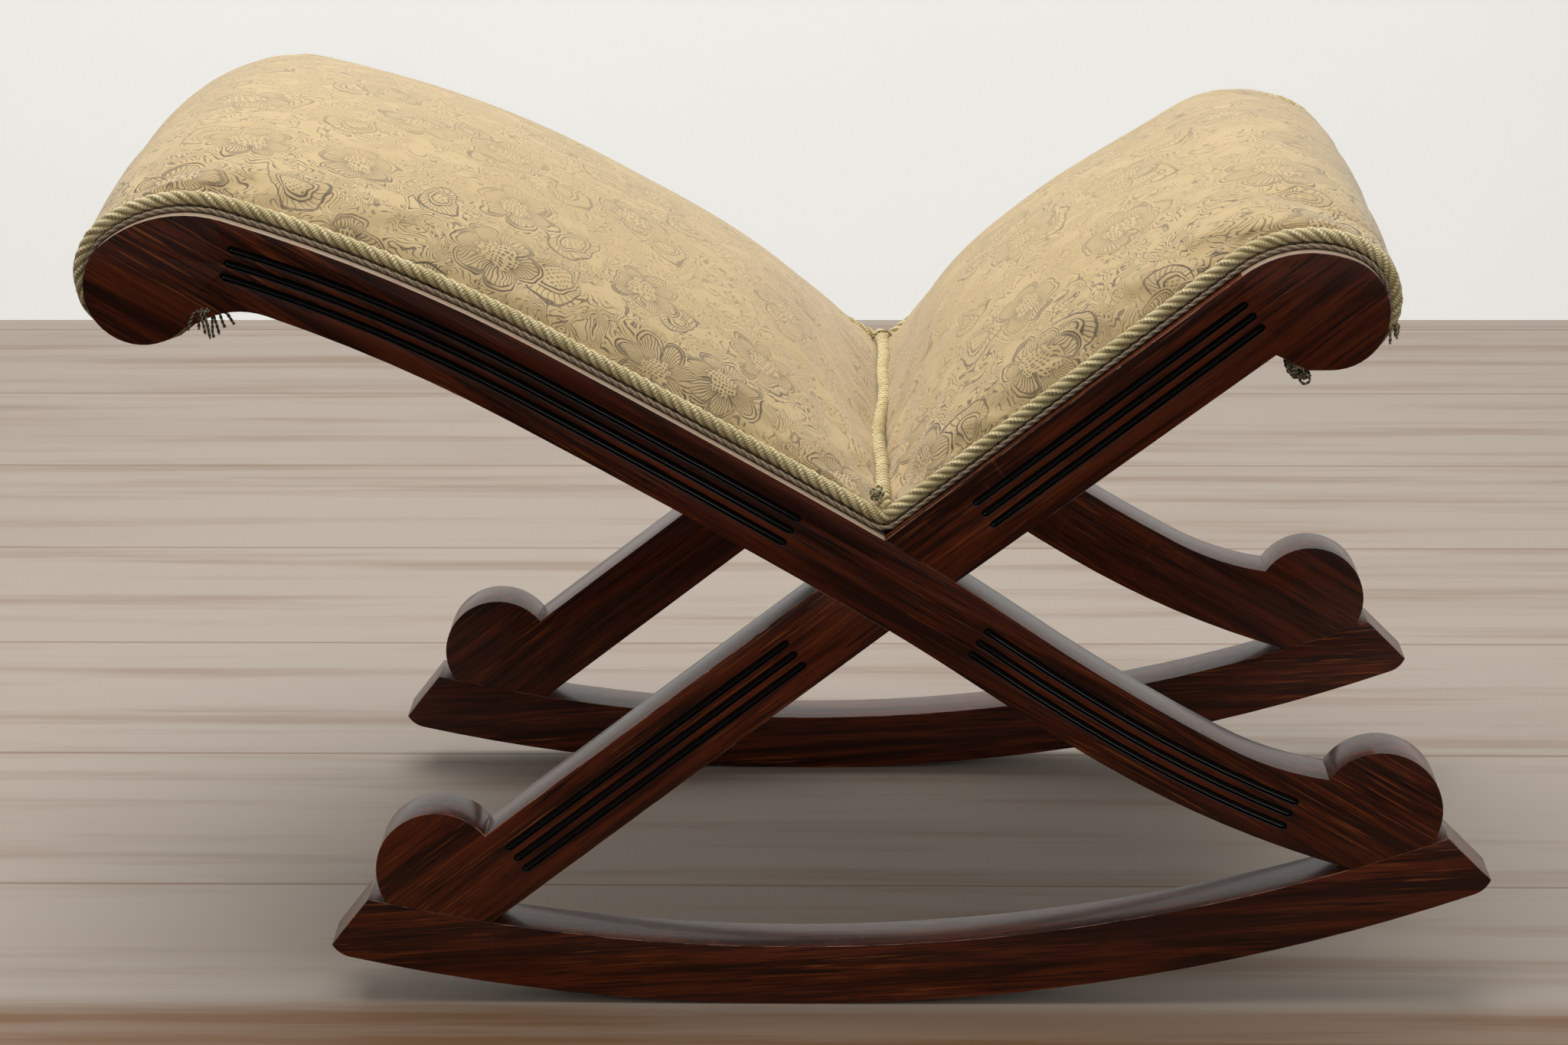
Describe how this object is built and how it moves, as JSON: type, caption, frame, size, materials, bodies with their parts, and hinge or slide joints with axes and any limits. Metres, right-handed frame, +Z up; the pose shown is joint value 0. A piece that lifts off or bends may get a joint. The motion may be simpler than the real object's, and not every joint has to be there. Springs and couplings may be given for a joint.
{
  "type": "rocking footstool",
  "caption": "Low footstool with two crossed scroll-ended frames on curved rockers and a long and a short padded arm that meet in a V, trimmed with twisted cord.",
  "frame": {"origin": "the point of the floor that the rockers touch when the stool has come to rest, midway between the two side frames", "axes": "+Z up; +X along the rockers from the long arm's side towards the short arm's side; +Y from the front frame to the back frame"},
  "size_m": [0.7337, 0.408, 0.455],
  "materials": {
    "mahogany": "satin",
    "rail_wood": "matte",
    "webbing": "matte",
    "hessian": "matte",
    "stuffing": "matte",
    "cover_fabric": "matte",
    "cord": "matte"
  },
  "bodies": {
    "root": {"long_beam_front": "mahogany", "long_beam_back": "mahogany", "short_beam_front": "mahogany", "short_beam_back": "mahogany", "rocker_front": "mahogany", "rocker_back": "mahogany", "rocker_dowels_front": "rail_wood", "rocker_dowels_back": "rail_wood", "long_end_rail": "rail_wood", "short_end_rail": "rail_wood", "valley_rail": "rail_wood", "cross_webs_long": "webbing", "cross_webs_short": "webbing", "length_webs_long": "webbing", "length_webs_short": "webbing", "hessian_long": "hessian", "hessian_short": "hessian", "padding_long": "stuffing", "padding_short": "stuffing", "cover_long": "cover_fabric", "cover_short": "cover_fabric", "cord_long_front": "cord", "cord_long_back": "cord", "cord_short_front": "cord", "cord_short_back": "cord", "valley_cord": "cord"}
  },
  "joints": []
}
